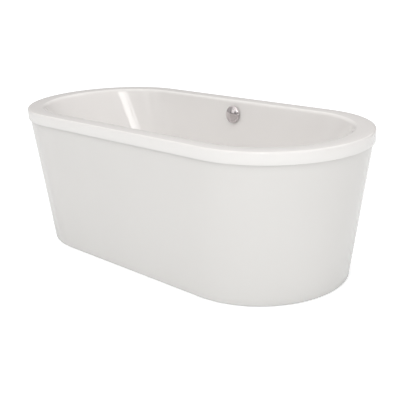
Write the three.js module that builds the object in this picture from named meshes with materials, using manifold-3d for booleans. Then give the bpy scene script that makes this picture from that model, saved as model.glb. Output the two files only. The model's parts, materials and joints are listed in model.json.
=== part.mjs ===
// Freestanding double-ended bathtub: a stadium-shaped acrylic basin in a tapered outer skirt,
// standing on a steel cradle with levelling feet, with a rotary overflow and a pop-up waste.
// Millimetres. +X runs along the bath, +Y points to the overflow side, +Z is up.
// The origin is on the floor under the middle of the bath.
import * as THREE from 'three';
import Module from 'manifold-3d';
import { mergeVertices } from 'three/addons/utils/BufferGeometryUtils.js';
import { LoftGeometry } from 'three/addons/geometries/LoftGeometry.js';

const wasm = await Module();
wasm.setup();

// ---- driving dimensions ----
const LENGTH = 1700;
const WIDTH = 770;
const HEIGHT = 595;
const GAP = 0.3;                 // left between pieces that touch
const ACRYLIC = 6;               // thickness of the basin and its rim

const LIP_HEIGHT = 46;           // turned-down outer edge of the rim
const LIP_ROUND = 8;             // radius of the rim's outer top edge
const FLANGE_SIDE = 57;          // flat rim on the long sides, before the rolled inner edge
const FLANGE_END = 68.5;         // flat rim at the two ends
const INNER_ROLL = 12;           // radius of the rolled inner edge

const END_LEAN = 31;             // degrees from vertical, the two backrests
const SIDE_LEAN = 8.5;           // degrees from vertical, the long inner walls
const FLOOR_Z = 160;             // inner floor at the foot of the walls
const FLOOR_FALL = 3;            // the floor drops this much towards the waste
const FOOT_HEIGHT = 60;          // height of the fillet between walls and floor
const UNDERSIDE_Z = 150;         // flat underside of the basin

const SKIRT_WALL = 5;
const SKIRT_INSET = 8.5;         // the skirt stands this far in from the rim's outer face
const SKIRT_TOP_Z = 575;         // tucked up behind the lip
const SKIRT_KNEE_Z = 545;        // the taper ends here and the wall turns vertical
const SKIRT_FOOT = { length: 1504, width: 707, z: 2 };
const SKIRT_RETURN = { width: 30, thickness: 6 };

const BOARD = { length: 870, width: 360, bottom: 130.6, hole: 45, screwDepth: 12 };
const RAIL = 25;                 // square tube side
const RAIL_WALL = 2;
const LONG_RAIL = { length: 900, y: 165, z: 117.9 };
const CROSS_RAIL = { reach: 345, x: 375, z: 92.6 };
const CENTRE_RAIL = { reach: 190, x: -150 };

const FOOT = { stud: 6, studTop: 96, boss: 11, bore: 6.5 };
const PAD = { radius: 22, edge: 3, height: 10, socket: 6, socketRadius: 8, neck: 13 };
const STUD_HEX = { corner: 10, bottom: 12, top: 19 };
const LOCK_NUT = { corner: 11, height: 8 };
const SCREW = { radius: 2.4, head: 5, headHeight: 3, railLength: 36, bracketLength: 11 };
const RAIL_SCREW_X = [-290, 0, 290];
const BRACKET = { width: 36, plate: 3, bottom: 68, reach: 298, screwY: 318 };

const OVERFLOW_Z = 534;          // centre of the overflow on the inner wall
const OVERFLOW_HOLE = 25;
const KNOB = { radius: 38, back: 4, front: 22, crown: 3, wall: 3, hub: 9, hubBack: 6, socket: 17 };
const FACE_RING = { wall: 3, back: -18, edge: 2.2, front: 3.2 };
const CUP = { outer: 28, inner: 24.4, depth: 42, floor: 3, flange: 33, flangeThick: 3, face: 9 };
const SPINDLE = { radius: 4, back: -33, front: 16 };
const DRUM = { rim: 15, groove: 12, back: -30, front: -24, side: 1.5 };
const RUNNING = 0.35;            // radial clearance round turning and sliding pieces
const SPIDER = { thick: 3, boss: 3.5 };
const OVERFLOW_SPIDER_Z = -14;
const SPIGOT = { outer: 13, bore: 10, depth: 28, end: 46 };
const CABLE = 3.5;
const CABLE_EXIT = { x: 24, radius: 5.5, end: 36 };     // x is sideways from the overflow's axis
const CABLE_BORE = 2;

const WASTE_HOLE = 26;
const WASTE_RECESS = { radius: 37, edge: 42, z: 153.6 };
const WASTE_RING = { radius: 35, wall: 2.8, bottom: 120, proud: 0.4, seat: 1.6 };
const WASTE_SPIDER_Z = 136;
const BARREL = { outer: 29.4, inner: 25.4, bottom: 60, floor: 4, top: 146, flange: 36, flangeThick: 4 };
const OUTLET = { outer: 20, bore: 16.5, z: 84, end: 52 };
const HOSE = { z: 86, end: 48.5 };
const GLAND = { x: 12, z: 116, radius: 6, end: 42 };
const LIFTER = { pivotY: 17, pivotZ: 100, tip: 15, tail: 5, thick: 4, width: 8, pin: 1.5, pinHalf: 21 };
const PLUG = { radius: 30, underside: 157.8, crown: 163, boss: 11.5, bossBottom: 149, stem: 4,
  stemBottom: 102.9 };
const PLUG_SEAL = { radius: 21.4, bottom: 151.5, top: 155, bevel: 1 };
const TRAP = { x: 112, outer: 32, wall: 3, bottom: 13.6, top: 104, outletZ: 78, end: 168, baffle: 3,
  baffleBottom: 40 };
const TRAP_CAP = { wall: 4, floor: 4, height: 14 };
const NUT = { wall: 5, length: 20 };

const FINE = 24;                 // sides of the larger round pieces
const MID = 16;
const COARSE = 8;
const END_STEPS = 20;            // facets in each rounded end of the bath
const HOSE_STEPS = 22;
const CABLE_STEPS = 36;

// ---- materials ----
const paint = (color, roughness, metalness = 0) => ({ color, roughness, metalness });
const WHITE_ACRYLIC = paint(0xf1efec, 0.12);
const STEEL = paint(0x9a9ea2, 0.45, 0.9);
const ZINC = paint(0xb9bcbd, 0.35, 0.9);
const CHROME = paint(0xd8d8dc, 0.06, 1);
const RUBBER = paint(0x1d1d1f, 0.8);
const BOARD_WOOD = paint(0xb99a6b, 0.75);
const WHITE_PLASTIC = paint(0xe4e4e0, 0.4);
const GREY_PLASTIC = paint(0x8d9092, 0.5);

// ---- small tools ----
const radians = THREE.MathUtils.degToRad;

function solidOf(geometry) {
  const bare = new THREE.BufferGeometry().copy(geometry);
  bare.deleteAttribute('normal');
  bare.deleteAttribute('uv');
  const welded = mergeVertices(bare, 1e-4);
  return new wasm.Manifold(new wasm.Mesh({
    numProp: 3,
    vertProperties: welded.attributes.position.array,
    triVerts: new Uint32Array(welded.index.array),
  }));
}

function geometryOf(solid) {
  const { vertProperties, triVerts } = solid.getMesh();
  const geometry = new THREE.BufferGeometry();
  geometry.setAttribute('position', new THREE.BufferAttribute(vertProperties, 3));
  geometry.setIndex(new THREE.BufferAttribute(triVerts, 1));
  geometry.computeVertexNormals();
  return geometry;
}

function join(...geometries) {
  return geometryOf(geometries.map(solidOf).reduce((sum, next) => sum.add(next)));
}

function cut(body, ...tools) {
  return geometryOf(tools.map(solidOf).reduce((rest, tool) => rest.subtract(tool), solidOf(body)));
}

// A solid of revolution about +Z from [radius, height] points, anticlockwise from the axis or closed.
function turned(profile, sides = MID) {
  const points = profile.map(([r, z]) => new THREE.Vector2(r, z));
  return new THREE.LatheGeometry(points, sides).rotateX(Math.PI / 2);
}

function rod(radius, z0, z1, sides = MID) {
  return turned([[0, z0], [radius, z0], [radius, z1], [0, z1]], sides);
}

function tube(inner, outer, z0, z1, sides = MID) {
  return turned([[inner, z0], [outer, z0], [outer, z1], [inner, z1], [inner, z0]], sides);
}

const alongX = (geometry) => geometry.rotateY(Math.PI / 2);
const alongY = (geometry) => geometry.rotateX(-Math.PI / 2);

function hexNut(cornerRadius, bore, z0, z1) {
  const middle = new THREE.Vector2();
  const corner = (i) => new THREE.Vector2(cornerRadius, 0).rotateAround(middle, i * Math.PI / 3);
  const shape = new THREE.Shape([0, 1, 2, 3, 4, 5].map(corner));
  shape.holes.push(new THREE.Path().absarc(0, 0, bore, 0, 2 * Math.PI, true));
  const options = { depth: z1 - z0, bevelEnabled: false, curveSegments: 6 };
  return new THREE.ExtrudeGeometry(shape, options).translate(0, 0, z0);
}

// A cap-headed screw, head downwards.
function screw(length) {
  const { radius, head, headHeight } = SCREW;
  const end = headHeight + length;
  return turned([[0, 0], [head, 0], [head, headHeight], [radius, headHeight], [radius, end], [0, end]],
    COARSE);
}

function box(x0, x1, y0, y1, z0, z1) {
  return new THREE.BoxGeometry(x1 - x0, y1 - y0, z1 - z0)
    .translate((x0 + x1) / 2, (y0 + y1) / 2, (z0 + z1) / 2);
}

// ---- the stadium outline that the whole bath is lofted from ----
// Straight sides with half-round ends, anticlockwise from above, at one height.
function outline(halfLength, halfWidth, z) {
  const centre = halfLength - halfWidth;
  const points = [];
  for (const side of [1, -1]) {
    for (let i = 0; i <= END_STEPS; i++) {
      const angle = Math.PI * (i / END_STEPS - 0.5);
      points.push(new THREE.Vector3(side * (centre + halfWidth * Math.cos(angle)),
        side * halfWidth * Math.sin(angle), z));
    }
    points.push(new THREE.Vector3(0, side * halfWidth, z));
  }
  return points;
}

// A circle with as many points as the outline, for the round waste in the floor.
function circle(radius, z) {
  const count = outline(2, 1, 0).length;
  const start = -Math.PI / 2;
  return Array.from({ length: count }, (_, i) => {
    const angle = start + 2 * Math.PI * i / count;
    return new THREE.Vector3(radius * Math.cos(angle), radius * Math.sin(angle), z);
  });
}

// ---- the inner surface of the basin, as half sizes at a height ----
const END_SLOPE = Math.tan(radians(END_LEAN));
const SIDE_SLOPE = Math.tan(radians(SIDE_LEAN));
const END_FILLET = FOOT_HEIGHT / (1 - Math.sin(radians(END_LEAN)));
const SIDE_FILLET = FOOT_HEIGHT / (1 - Math.sin(radians(SIDE_LEAN)));
const WALL_FOOT_Z = FLOOR_Z + FOOT_HEIGHT;
const OPENING = { halfLength: LENGTH / 2 - FLANGE_END, halfWidth: WIDTH / 2 - FLANGE_SIDE };

function wallHalf(open, slope, z) {
  const drop = Math.min(HEIGHT - z, INNER_ROLL);
  const roll = Math.sqrt(2 * INNER_ROLL * drop - drop * drop);
  return open - roll - (HEIGHT - z) * slope;
}

function filletHalf(open, slope, radius, z) {
  const atTop = wallHalf(open, slope, WALL_FOOT_Z);
  const reach = (height) => Math.sqrt(2 * radius * height - height * height);
  return atTop - reach(FOOT_HEIGHT) + reach(z - FLOOR_Z);
}

function basinHalves(z) {
  if (z >= WALL_FOOT_Z) {
    return [wallHalf(OPENING.halfLength, END_SLOPE, z), wallHalf(OPENING.halfWidth, SIDE_SLOPE, z)];
  }
  return [filletHalf(OPENING.halfLength, END_SLOPE, END_FILLET, z),
    filletHalf(OPENING.halfWidth, SIDE_SLOPE, SIDE_FILLET, z)];
}

// ---- basin and skirt ----
const FILLET_STEPS = [0.45, 0.16];                // heights in the fillet, as shares of FOOT_HEIGHT

function basinInside() {
  const rollDepths = [0, 0.12, 0.45, 1].map((share) => HEIGHT - share * INNER_ROLL);
  const fillet = [1, ...FILLET_STEPS, 0].map((share) => FLOOR_Z + share * FOOT_HEIGHT);
  return [...rollDepths, ...fillet].map((z) => outline(...basinHalves(z), z));
}

// The back of the fillet is moved away along the surface's normal, and the wall's back sideways.
function basinOutside() {
  const sections = FILLET_STEPS.toReversed().map((share) => {
    const height = share * FOOT_HEIGHT;
    const [halfLength, halfWidth] = basinHalves(FLOOR_Z + height);
    const down = (SIDE_FILLET - height) / SIDE_FILLET;
    const sideways = ACRYLIC * Math.sqrt(1 - down * down);
    return outline(halfLength + sideways, halfWidth + sideways, FLOOR_Z + height - ACRYLIC * down);
  });
  const backOf = (z) => {
    const [halfLength, halfWidth] = basinHalves(z);
    return outline(halfLength + ACRYLIC / Math.cos(radians(END_LEAN)),
      halfWidth + ACRYLIC / Math.cos(radians(SIDE_LEAN)), z);
  };
  const [footLength, footWidth] = basinHalves(FLOOR_Z);
  return [outline(footLength, footWidth, UNDERSIDE_Z), ...sections, backOf(WALL_FOOT_Z),
    backOf(HEIGHT - INNER_ROLL)];
}

function bathShell() {
  const halfLength = LENGTH / 2;
  const halfWidth = WIDTH / 2;
  const rim = (inset, z) => outline(halfLength - inset, halfWidth - inset, z);
  const outerRound = [0, 30, 60, 90].map((degrees) => {
    const angle = radians(degrees);
    return rim(LIP_ROUND * (1 - Math.cos(angle)), HEIGHT - LIP_ROUND * (1 - Math.sin(angle)));
  });
  const lipBottom = rim(0, HEIGHT - LIP_HEIGHT);
  const floorCentre = FLOOR_Z - FLOOR_FALL;
  const waste = [circle(WASTE_RECESS.edge, floorCentre), circle(WASTE_RECESS.radius, WASTE_RECESS.z),
    circle(WASTE_HOLE, WASTE_RECESS.z), circle(WASTE_HOLE, UNDERSIDE_Z)];
  const underFlange = HEIGHT - ACRYLIC;
  const sections = [lipBottom, ...outerRound, ...basinInside(), ...waste, ...basinOutside(),
    outline(OPENING.halfLength, OPENING.halfWidth - ACRYLIC / 2, underFlange),
    rim(LIP_ROUND, underFlange), rim(ACRYLIC, underFlange - LIP_ROUND + ACRYLIC),
    rim(ACRYLIC, HEIGHT - LIP_HEIGHT), lipBottom];
  const hole = rod(OVERFLOW_HOLE, -CUP.depth, CUP.depth, FINE).applyMatrix4(overflowMatrix());
  return cut(new LoftGeometry(sections), hole);
}

function skirtHalves(z) {
  const share = Math.min((z - SKIRT_FOOT.z) / (SKIRT_KNEE_Z - SKIRT_FOOT.z), 1);
  const top = [LENGTH / 2 - SKIRT_INSET, WIDTH / 2 - SKIRT_INSET];
  return [THREE.MathUtils.lerp(SKIRT_FOOT.length / 2, top[0], share),
    THREE.MathUtils.lerp(SKIRT_FOOT.width / 2, top[1], share)];
}

function outerSkirt() {
  const section = (z, inset) => {
    const [halfLength, halfWidth] = skirtHalves(z);
    return outline(halfLength - inset, halfWidth - inset, z);
  };
  const bottom = SKIRT_FOOT.z;
  const returnTop = bottom + SKIRT_RETURN.thickness;
  const returnEdge = SKIRT_RETURN.width;
  return new LoftGeometry([section(bottom, 0), section(SKIRT_KNEE_Z, 0), section(SKIRT_TOP_Z, 0),
    section(SKIRT_TOP_Z, SKIRT_WALL), section(SKIRT_KNEE_Z, SKIRT_WALL),
    section(returnTop, SKIRT_WALL), section(returnTop, returnEdge), section(bottom, returnEdge),
    section(bottom, 0)]);
}

// ---- cradle ----
function screwHoles(radius, z0, z1) {
  return RAIL_SCREW_X.map((x) => rod(radius, z0, z1, COARSE).translate(x, 0, 0));
}

function baseBoard() {
  const { length, width, bottom, hole, screwDepth } = BOARD;
  const edge = outline(length / 2, width / 2, 0).map((p) => new THREE.Vector2(p.x, p.y));
  const shape = new THREE.Shape(edge);
  shape.holes.push(new THREE.Path().absarc(0, 0, hole, 0, 2 * Math.PI, true));
  const options = { depth: UNDERSIDE_Z - GAP - bottom, bevelEnabled: false, curveSegments: 12 };
  const board = new THREE.ExtrudeGeometry(shape, options).translate(0, 0, bottom);
  const holes = [1, -1].flatMap((side) => screwHoles(SCREW.radius + GAP, bottom - 1, bottom + screwDepth)
    .map((hole) => hole.translate(0, side * LONG_RAIL.y, 0)));
  return cut(board, ...holes);
}

function squareTube(length) {
  const square = (side) => {
    const h = side / 2;
    return [[-h, -h], [h, -h], [h, h], [-h, h]].map(([x, y]) => new THREE.Vector2(x, y));
  };
  const shape = new THREE.Shape(square(RAIL));
  shape.holes.push(new THREE.Path(square(RAIL - 2 * RAIL_WALL)));
  return alongX(new THREE.ExtrudeGeometry(shape, { depth: length, bevelEnabled: false })
    .translate(0, 0, -length / 2));
}

function longRail() {
  return cut(squareTube(LONG_RAIL.length), ...screwHoles(SCREW.radius + GAP, -RAIL, RAIL));
}

// A tube across the bath, with a threaded boss inside it at each foot and a screw hole at each bracket.
function crossRail(reach, footPositions, bracketPositions) {
  const bottom = RAIL_WALL / 2 - RAIL / 2;
  const top = RAIL / 2 - 1.5 * RAIL_WALL;
  const bosses = footPositions.map((y) => rod(FOOT.boss, bottom, top).translate(0, y, 0));
  const bores = footPositions.map((y) => rod(FOOT.bore, -RAIL, top + 1).translate(0, y, 0));
  const screws = bracketPositions.map((y) => rod(SCREW.radius + GAP, 0, RAIL, COARSE).translate(0, y, 0));
  const body = join(squareTube(2 * reach).rotateZ(Math.PI / 2), ...bosses);
  return cut(body, ...bores, ...screws);
}

function footPad() {
  const { radius, edge, height, socket, socketRadius, neck } = PAD;
  return turned([[0, 0], [radius, 0], [radius, edge], [neck, height], [socketRadius, height],
    [socketRadius, socket], [0, socket]], MID);
}

function footStud() {
  const { stud, studTop } = FOOT;
  const ball = stud + 1;
  const ballBottom = PAD.socket + GAP;
  const shank = turned([[0, ballBottom], [ball, ballBottom], [ball, PAD.height], [stud, PAD.height],
    [stud, studTop], [0, studTop]], COARSE);
  return join(shank, hexNut(STUD_HEX.corner, stud - 2, STUD_HEX.bottom, STUD_HEX.top));
}

function footLockNut() {
  const top = CROSS_RAIL.z - RAIL / 2 - GAP;
  return hexNut(LOCK_NUT.corner, FOOT.bore, top - LOCK_NUT.height, top);
}

function skirtBracket() {
  const { width, plate, bottom, reach } = BRACKET;
  const seat = CROSS_RAIL.z + RAIL / 2 + GAP;
  const back = CROSS_RAIL.reach + GAP;
  const half = width / 2;
  const hole = rod(SCREW.radius + GAP, seat - 5, seat + 10, COARSE).translate(0, BRACKET.screwY, 0);
  return cut(join(box(-half, half, back, back + plate, bottom, seat + plate),
    box(-half, half, reach, back + plate, seat, seat + plate)), hole);
}

// ---- overflow: built flat in its own frame, +Z out of the wall, +Y up the wall ----
function overflowMatrix() {
  const wall = basinHalves(OVERFLOW_Z)[1];
  return new THREE.Matrix4().makeRotationX(radians(90 - SIDE_LEAN)).setPosition(0, wall, OVERFLOW_Z);
}

function overflowKnob() {
  const { radius, back, front, crown, wall, hub, hubBack, socket } = KNOB;
  const bore = SPINDLE.radius + GAP;
  const face = front - crown;
  return turned([[0, socket], [bore, socket], [bore, hubBack], [hub, hubBack], [hub, face - wall],
    [radius - 2 * wall, face - wall - 2], [radius - wall, face - 8], [radius - wall, back],
    [radius - 1, back], [radius, back + 1.5], [radius, face - 7], [radius - 2, face - 3],
    [radius - 7, face], [radius - 20, front - 1], [0, front]], FINE);
}

function overflowSpindle() {
  return rod(SPINDLE.radius, SPINDLE.back, SPINDLE.front, COARSE);
}

function cableDrum() {
  const { rim, groove, back, front, side } = DRUM;
  const bore = SPINDLE.radius + GAP;
  return turned([[bore, back], [rim, back], [rim, back + side], [groove, back + side + 1],
    [groove, front - side - 1], [rim, front - side], [rim, front], [bore, front], [bore, back]], MID);
}

// The front ring, its threaded sleeve through the wall, and the spider that carries the spindle.
function overflowFacePlate() {
  const { wall, back, edge, front } = FACE_RING;
  const sleeve = CUP.inner - GAP - 0.1;
  const bore = sleeve - wall;
  const ring = turned([[bore, back], [sleeve, back], [sleeve, GAP], [CUP.flange, GAP], [CUP.flange, edge],
    [bore + 2, front], [bore, front], [bore, back]], FINE);
  return join(ring, ...spider(bore, OVERFLOW_SPIDER_Z));
}

// Three arms and a bearing ring, as pieces to join into a sleeve of this bore.
function spider(bore, z) {
  const bearing = SPINDLE.radius + RUNNING;
  const top = z + SPIDER.thick;
  const half = SPIDER.thick / 2;
  const arm = (i) => box(bearing + 1, bore + 0.6, -half, half, z, top).rotateZ(i * 2 * Math.PI / 3);
  return [tube(bearing, bearing + SPIDER.boss, z, top, MID), arm(0), arm(1), arm(2)];
}

function overflowSeal() {
  return tube(OVERFLOW_HOLE + 0.5, CUP.flange - 1, -CUP.face + GAP, -ACRYLIC - GAP, FINE);
}

function overflowBody() {
  const { outer, inner, depth, floor, flange, flangeThick, face } = CUP;
  const cup = turned([[0, -depth], [outer, -depth], [outer, -face - flangeThick],
    [flange, -face - flangeThick], [flange, -face], [inner, -face], [inner, floor - depth],
    [0, floor - depth]], FINE);
  const neck = (radius, from, to) => alongY(rod(radius, from, to)).translate(0, 0, -SPIGOT.depth);
  const gland = (radius, from, to) => alongY(rod(radius, from, to, COARSE))
    .translate(CABLE_EXIT.x, 0, -SPIGOT.depth);
  const body = join(cup, neck(SPIGOT.outer, -SPIGOT.end, -inner - 1),
    gland(CABLE_EXIT.radius, -CABLE_EXIT.end, -8));
  return cut(body, neck(SPIGOT.bore, -SPIGOT.end - 1, -15), gland(CABLE_BORE, -CABLE_EXIT.end - 1, -10),
    rod(inner, floor - depth, -face + 1, FINE));
}

const overflowPoint = (x, y, z) => new THREE.Vector3(x, y, z).applyMatrix4(overflowMatrix());

// A round pipe or cable along a smooth curve through points.
function alongCurve(shape, points, steps) {
  const extrudePath = new THREE.CatmullRomCurve3(points, false, 'centripetal');
  return new THREE.ExtrudeGeometry(shape, { steps, extrudePath, bevelEnabled: false, curveSegments: 4 });
}

function overflowHose() {
  const shape = new THREE.Shape().absarc(0, 0, SPIGOT.outer, 0, 2 * Math.PI, false);
  shape.holes.push(new THREE.Path().absarc(0, 0, SPIGOT.bore, 0, 2 * Math.PI, true));
  const at = (y, z) => new THREE.Vector3(0, y, z);
  const route = [overflowPoint(0, -SPIGOT.end - 1, -SPIGOT.depth), overflowPoint(0, -75, -SPIGOT.depth),
    at(328, 380), at(327, 260), at(322, 170), at(300, 115), at(255, HOSE.z + 2), at(190, HOSE.z),
    at(120, HOSE.z), at(HOSE.end + 0.5, HOSE.z)];
  return alongCurve(shape, route, HOSE_STEPS);
}

function controlCable() {
  const shape = new THREE.Shape().absarc(0, 0, CABLE, 0, 2 * Math.PI, false);
  const at = (x, y, z) => new THREE.Vector3(x, y, z);
  const out = (down) => overflowPoint(CABLE_EXIT.x, -down, -SPIGOT.depth);
  const route = [out(CABLE_EXIT.end + 0.5), out(60), at(25, 335, 400), at(26, 336, 260), at(28, 332, 160),
    at(30, 305, 105), at(30, 250, 88), at(30, 180, 88), at(24, 120, 98), at(GLAND.x, 75, GLAND.z),
    at(GLAND.x, GLAND.end + GAP, GLAND.z)];
  return alongCurve(shape, route, CABLE_STEPS);
}

function unionNut(radius) {
  const outer = radius + NUT.wall;
  const half = NUT.length / 2;
  return turned([[radius + GAP, -half], [outer - 1, -half], [outer, 1 - half], [outer, half - 1],
    [outer - 1, half], [radius + GAP, half], [radius + GAP, -half]], MID);
}

// ---- waste: on the vertical axis through the middle of the floor ----
function wasteFlange() {
  const { radius, wall, bottom, proud } = WASTE_RING;
  const sleeve = BARREL.inner - 2 * GAP;
  const bore = sleeve - wall;
  const seat = WASTE_RECESS.z + WASTE_RING.seat;
  const face = FLOOR_Z - FLOOR_FALL + proud;
  const ring = turned([[bore, bottom], [sleeve, bottom], [sleeve, seat], [radius, seat],
    [radius, face - 1], [radius - 1.5, face], [bore + 1.5, face], [bore, face - 1.5], [bore, bottom]], FINE);
  return join(ring, ...spider(bore, WASTE_SPIDER_Z));
}

function wasteBody() {
  const { outer, inner, bottom, top, flange, flangeThick } = BARREL;
  const floor = bottom + BARREL.floor;
  const under = top - flangeThick;
  const barrel = turned([[0, bottom], [outer, bottom], [outer, under], [flange, under], [flange, top],
    [inner, top], [inner, floor], [0, floor]], FINE);
  const outlet = (radius, from, to) => alongX(rod(radius, from, to)).translate(0, 0, OUTLET.z);
  const side = (radius, from, to) => alongY(rod(radius, from, to)).translate(0, 0, HOSE.z);
  const gland = (radius, from, to) => alongY(rod(radius, from, to, COARSE))
    .translate(GLAND.x, 0, GLAND.z);
  const pin = alongX(rod(LIFTER.pin + GAP, -40, 40, COARSE)).translate(0, LIFTER.pivotY, LIFTER.pivotZ);
  const body = join(barrel, outlet(OUTLET.outer, 22, OUTLET.end), side(SPIGOT.outer, 20, HOSE.end),
    gland(GLAND.radius, 20, GLAND.end));
  return cut(body, outlet(OUTLET.bore, 10, OUTLET.end + 1), side(SPIGOT.bore, 10, HOSE.end + 1.5),
    gland(CABLE_BORE, 10, GLAND.end + 1), rod(inner, floor, top + 1, FINE), pin);
}

function plugLifter() {
  const { tip, tail, thick, width, pin } = LIFTER;
  const half = thick / 2;
  const shape = new THREE.Shape([[-tip, -half + 1], [-tip + 1, -half], [tail, -half - 1], [tail, half + 1],
    [-tip + 3, half], [-tip, half - 1]].map(([y, z]) => new THREE.Vector2(y, z)));
  shape.holes.push(new THREE.Path().absarc(0, 0, pin + RUNNING, 0, 2 * Math.PI, true));
  const options = { depth: width, bevelEnabled: false, curveSegments: 6 };
  return new THREE.ExtrudeGeometry(shape, options).translate(0, 0, -width / 2)
    .rotateX(Math.PI / 2).rotateZ(Math.PI / 2);
}

function wastePlug() {
  const { radius, underside, crown, boss, bossBottom, stem, stemBottom } = PLUG;
  return turned([[0, stemBottom], [stem - 0.8, stemBottom], [stem, stemBottom + 1], [stem, bossBottom],
    [boss, bossBottom], [boss, underside], [radius - 1, underside], [radius, underside + 1],
    [radius, underside + 2], [radius - 2, underside + 3.2], [radius - 12, crown - 0.7], [0, crown]], FINE);
}

function plugSeal() {
  const { radius, bottom, top, bevel } = PLUG_SEAL;
  const inner = PLUG.boss + GAP;
  return turned([[inner, bottom], [radius - bevel, bottom], [radius, bottom + 1.5 * bevel], [radius, top],
    [inner, top], [inner, bottom]], FINE);
}

function trapBody() {
  const { x, outer, wall, bottom, top, outletZ, end, baffle, baffleBottom } = TRAP;
  const cup = turned([[outer - wall, bottom], [outer, bottom], [outer, top], [0, top], [0, top - wall],
    [outer - wall, top - wall], [outer - wall, bottom]], FINE);
  const pipe = (radius, from, to, z) => alongX(rod(radius, from, to)).translate(-x, 0, z);
  const inletStart = OUTLET.end + 0.5;
  const inlet = (radius, extra) => pipe(radius, inletStart - extra, x - outer + 4 + extra, OUTLET.z);
  const exit = (radius, extra) => pipe(radius, x + outer - 4 - extra, end + extra, outletZ);
  const reach = outer - wall + 0.5;
  const plate = box(-baffle / 2, baffle / 2, -reach, reach, baffleBottom, top - 1);
  return cut(join(cup, inlet(OUTLET.outer, 0), exit(OUTLET.outer, 0), plate),
    inlet(OUTLET.bore, 1), exit(OUTLET.bore, 1));
}

function trapCap() {
  const { wall, floor, height } = TRAP_CAP;
  const inner = TRAP.outer + GAP;
  const outer = inner + wall;
  const seat = TRAP.bottom - GAP;
  return turned([[0, seat - floor], [outer - 1, seat - floor], [outer, seat - floor + 1],
    [outer, seat + height], [inner, seat + height], [inner, seat], [0, seat]], FINE);
}

// ---- assembly ----
const bathtub = new THREE.Group();

function add(name, geometry, material, x = 0, y = 0, z = 0, parent = bathtub) {
  const mesh = new THREE.Mesh(geometry, new THREE.MeshStandardMaterial(material));
  mesh.name = name;
  mesh.position.set(x, y, z);
  parent.add(mesh);
  return mesh;
}

function addBath() {
  add('bath_shell', bathShell(), WHITE_ACRYLIC);
  add('outer_skirt', outerSkirt(), WHITE_ACRYLIC);
  add('base_board', baseBoard(), BOARD_WOOD);
}

function addCradle() {
  const { x, z, reach } = CROSS_RAIL;
  const longY = LONG_RAIL.y;
  add('frame_rail_front', longRail(), STEEL, 0, -longY, LONG_RAIL.z);
  add('frame_rail_rear', longRail(), STEEL, 0, longY, LONG_RAIL.z);
  const screwY = BRACKET.screwY;
  for (const [name, side] of [['left', -1], ['right', 1]]) {
    add(`cross_rail_${name}`, crossRail(reach, [-longY, longY], [-screwY, screwY]), STEEL, side * x, 0, z);
  }
  add('cross_rail_centre', crossRail(CENTRE_RAIL.reach, [0], []), STEEL, CENTRE_RAIL.x, 0, z);

  const headZ = LONG_RAIL.z - RAIL / 2 - GAP - SCREW.headHeight;
  const screwPlaces = [-longY, longY].flatMap((y) => RAIL_SCREW_X.map((sx) => [sx, y]));
  screwPlaces.forEach(([sx, sy], i) => {
    add(`rail_screw_${i + 1}`, screw(SCREW.railLength), ZINC, sx, sy, headZ);
  });
}

function addFeet() {
  const { x } = CROSS_RAIL;
  const y = LONG_RAIL.y;
  const places = [[-x, -y], [x, -y], [-x, y], [x, y], [CENTRE_RAIL.x, 0]];
  places.forEach(([fx, fy], i) => {
    add(`foot_pad_${i + 1}`, footPad(), RUBBER, fx, fy);
    add(`foot_stud_${i + 1}`, footStud(), ZINC, fx, fy);
    add(`foot_lock_nut_${i + 1}`, footLockNut(), ZINC, fx, fy);
  });
}

function addBrackets() {
  const { x, z } = CROSS_RAIL;
  const headTop = z + RAIL / 2 + 2 * GAP + BRACKET.plate + SCREW.headHeight;
  const corners = [[-1, -1], [1, -1], [-1, 1], [1, 1]];
  corners.forEach(([sx, sy], i) => {
    const bracket = add(`skirt_bracket_${i + 1}`, skirtBracket(), ZINC, sx * x);
    bracket.rotation.z = sy > 0 ? 0 : Math.PI;
    const fixing = add(`bracket_screw_${i + 1}`, screw(SCREW.bracketLength), ZINC, sx * x,
      sy * BRACKET.screwY, headTop);
    fixing.rotation.x = Math.PI;
  });
}

function addOverflow() {
  const group = new THREE.Group();
  group.applyMatrix4(overflowMatrix());
  bathtub.add(group);
  add('overflow_knob', overflowKnob(), CHROME, 0, 0, 0, group);
  add('overflow_spindle', overflowSpindle(), ZINC, 0, 0, 0, group);
  add('cable_drum', cableDrum(), WHITE_PLASTIC, 0, 0, 0, group);
  add('overflow_face_plate', overflowFacePlate(), CHROME, 0, 0, 0, group);
  add('overflow_seal', overflowSeal(), RUBBER, 0, 0, 0, group);
  add('overflow_body', overflowBody(), WHITE_PLASTIC, 0, 0, 0, group);
  add('hose_nut_upper', alongY(unionNut(SPIGOT.outer)), GREY_PLASTIC, 0, -SPIGOT.end, -SPIGOT.depth, group);
  add('overflow_hose', overflowHose(), WHITE_PLASTIC);
  add('control_cable', controlCable(), RUBBER);
}

function addWaste() {
  const recess = WASTE_RECESS.z;
  add('waste_plug', wastePlug(), CHROME);
  add('plug_seal', plugSeal(), RUBBER);
  add('waste_flange', wasteFlange(), CHROME);
  add('waste_gasket', tube(WASTE_HOLE, 34, recess + GAP, recess + 1.3, FINE), RUBBER);
  add('waste_lower_seal', tube(WASTE_HOLE, 35, BARREL.top + GAP, UNDERSIDE_Z - GAP, FINE), RUBBER);
  add('waste_body', wasteBody(), WHITE_PLASTIC);
  add('plug_lifter', plugLifter(), WHITE_PLASTIC, 0, LIFTER.pivotY, LIFTER.pivotZ);
  const pinGeometry = alongX(rod(LIFTER.pin, -LIFTER.pinHalf, LIFTER.pinHalf, COARSE));
  add('lifter_pin', pinGeometry, ZINC, 0, LIFTER.pivotY, LIFTER.pivotZ);
  add('hose_nut_lower', alongY(unionNut(SPIGOT.outer)), GREY_PLASTIC, 0, HOSE.end + GAP, HOSE.z);
}

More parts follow.
